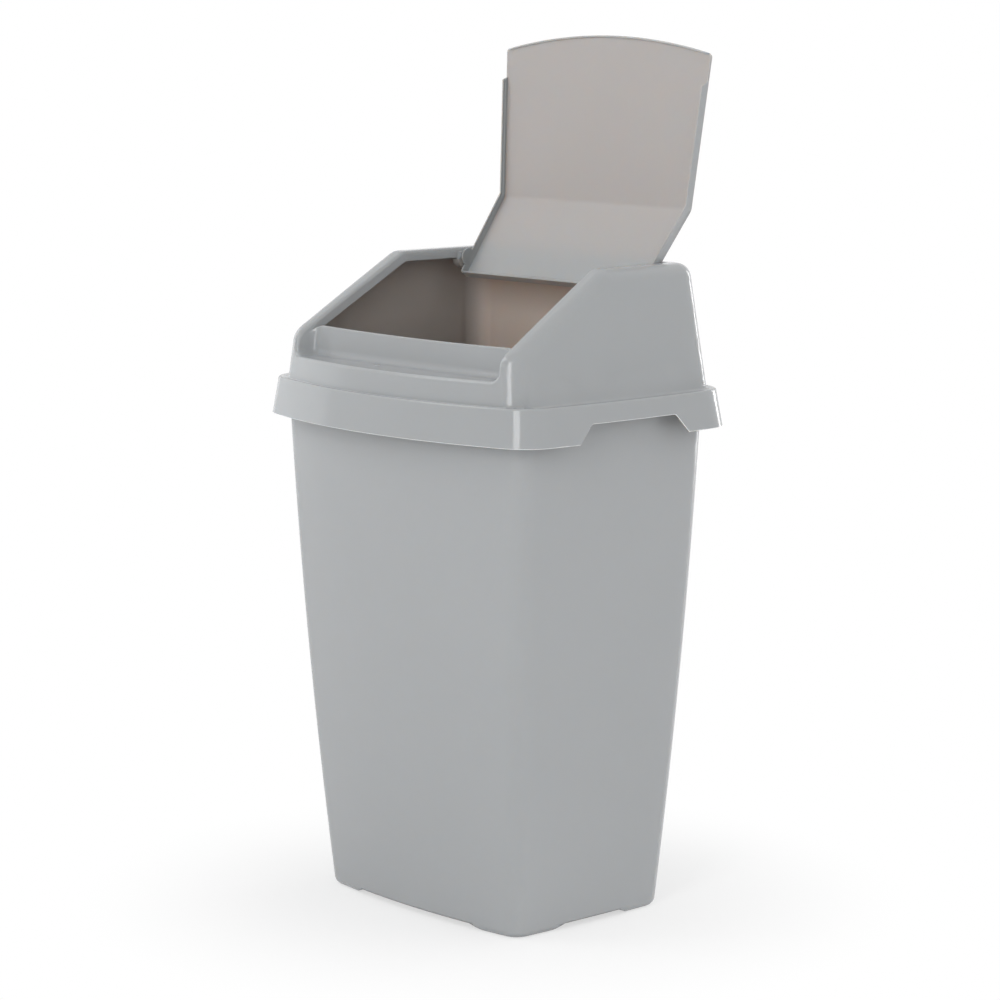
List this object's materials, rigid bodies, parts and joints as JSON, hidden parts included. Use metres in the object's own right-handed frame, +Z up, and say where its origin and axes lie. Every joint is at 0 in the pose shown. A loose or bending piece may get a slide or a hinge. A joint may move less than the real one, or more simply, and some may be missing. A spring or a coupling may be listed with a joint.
{
  "type": "lift top bin",
  "caption": "Tall tapering household bin with a lift-off hood and a bent flap that swings up from a finger scoop at its front.",
  "frame": {"origin": "on the floor, below the middle of the bin as it stands with its flap open", "axes": "+Z up, the front with the finger scoop towards -Y, +X along the hinge axis to the right of someone who faces the front"},
  "size_m": [0.4208, 0.3343, 0.8965],
  "materials": {
    "tub_plastic": "light cool grey moulded plastic, smooth and glossy",
    "hood_plastic": "light cool grey moulded plastic, smooth and glossy",
    "flap_plastic": "light grey moulded plastic, smooth with a soft gloss"
  },
  "bodies": {
    "tub": {"tub": "tub_plastic"},
    "hood": {"hood": "hood_plastic"},
    "flap": {"flap": "flap_plastic"}
  },
  "joints": [
    {"name": "hood_lift", "type": "slide", "parent": "tub", "child": "hood", "axis": [0, 0, 1], "range_m": [0, 0.16]},
    {"name": "flap_hinge", "type": "hinge", "parent": "hood", "child": "flap", "pos_m": [0, 0.0904, 0.6599], "axis": [1, 0, 0], "range_deg": [0, 127]}
  ]
}
